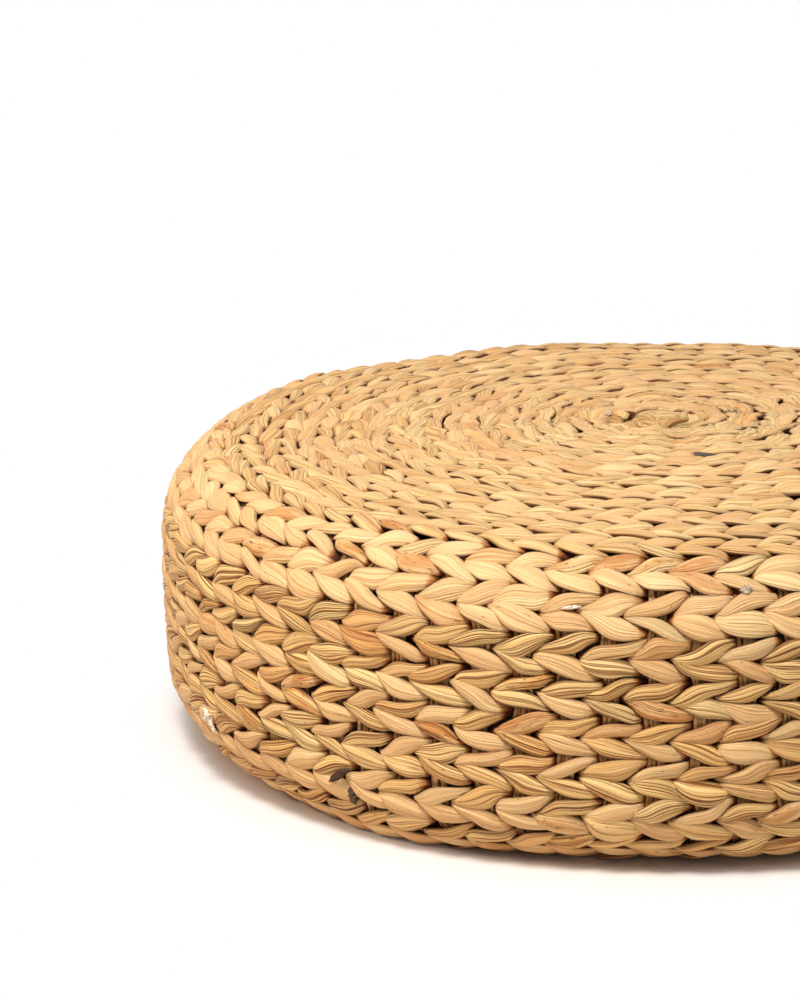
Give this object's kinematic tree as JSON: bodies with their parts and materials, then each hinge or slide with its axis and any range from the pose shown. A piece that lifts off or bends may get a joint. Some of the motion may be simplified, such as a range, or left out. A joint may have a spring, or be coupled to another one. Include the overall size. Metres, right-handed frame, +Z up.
{
  "type": "woven pouf",
  "caption": "Low round pouf of paired weavers twined in a spiral over stakes on a steel rod cage, with an open underside.",
  "frame": {"origin": "middle of the footprint, on the floor", "axes": "+Z up through the crown; X and Y are alike, and the spiral's parts meet on +X"},
  "size_m": [0.6002, 0.6003, 0.18],
  "materials": {
    "banana_fibre": "satin",
    "stake_cord": "matte",
    "coated_steel": "satin"
  },
  "bodies": {
    "root": {"crown_knot": "banana_fibre", "weave_top": "banana_fibre", "weave_shoulder": "banana_fibre", "weave_side": "banana_fibre", "weave_foot": "banana_fibre", "weave_under": "banana_fibre", "mouth_border": "banana_fibre", "stake_01": "stake_cord", "stake_02": "stake_cord", "stake_03": "stake_cord", "stake_04": "stake_cord", "stake_05": "stake_cord", "stake_06": "stake_cord", "stake_07": "stake_cord", "stake_08": "stake_cord", "stake_09": "stake_cord", "stake_10": "stake_cord", "stake_11": "stake_cord", "stake_12": "stake_cord", "stake_13": "stake_cord", "stake_14": "stake_cord", "stake_15": "stake_cord", "stake_16": "stake_cord", "stake_17": "stake_cord", "stake_18": "stake_cord", "stake_19": "stake_cord", "stake_20": "stake_cord", "stake_21": "stake_cord", "stake_22": "stake_cord", "stake_23": "stake_cord", "stake_24": "stake_cord", "crown_ring": "coated_steel", "shoulder_hoop": "coated_steel", "base_hoop": "coated_steel", "mouth_hoop": "coated_steel", "seat_spoke_1": "coated_steel", "seat_spoke_2": "coated_steel", "seat_spoke_3": "coated_steel", "seat_spoke_4": "coated_steel", "seat_spoke_5": "coated_steel", "seat_spoke_6": "coated_steel", "seat_spoke_7": "coated_steel", "seat_spoke_8": "coated_steel", "side_upright_1": "coated_steel", "side_upright_2": "coated_steel", "side_upright_3": "coated_steel", "side_upright_4": "coated_steel", "side_upright_5": "coated_steel", "side_upright_6": "coated_steel", "side_upright_7": "coated_steel", "side_upright_8": "coated_steel", "base_spoke_1": "coated_steel", "base_spoke_2": "coated_steel", "base_spoke_3": "coated_steel", "base_spoke_4": "coated_steel", "base_spoke_5": "coated_steel", "base_spoke_6": "coated_steel", "base_spoke_7": "coated_steel", "base_spoke_8": "coated_steel"}
  },
  "joints": []
}
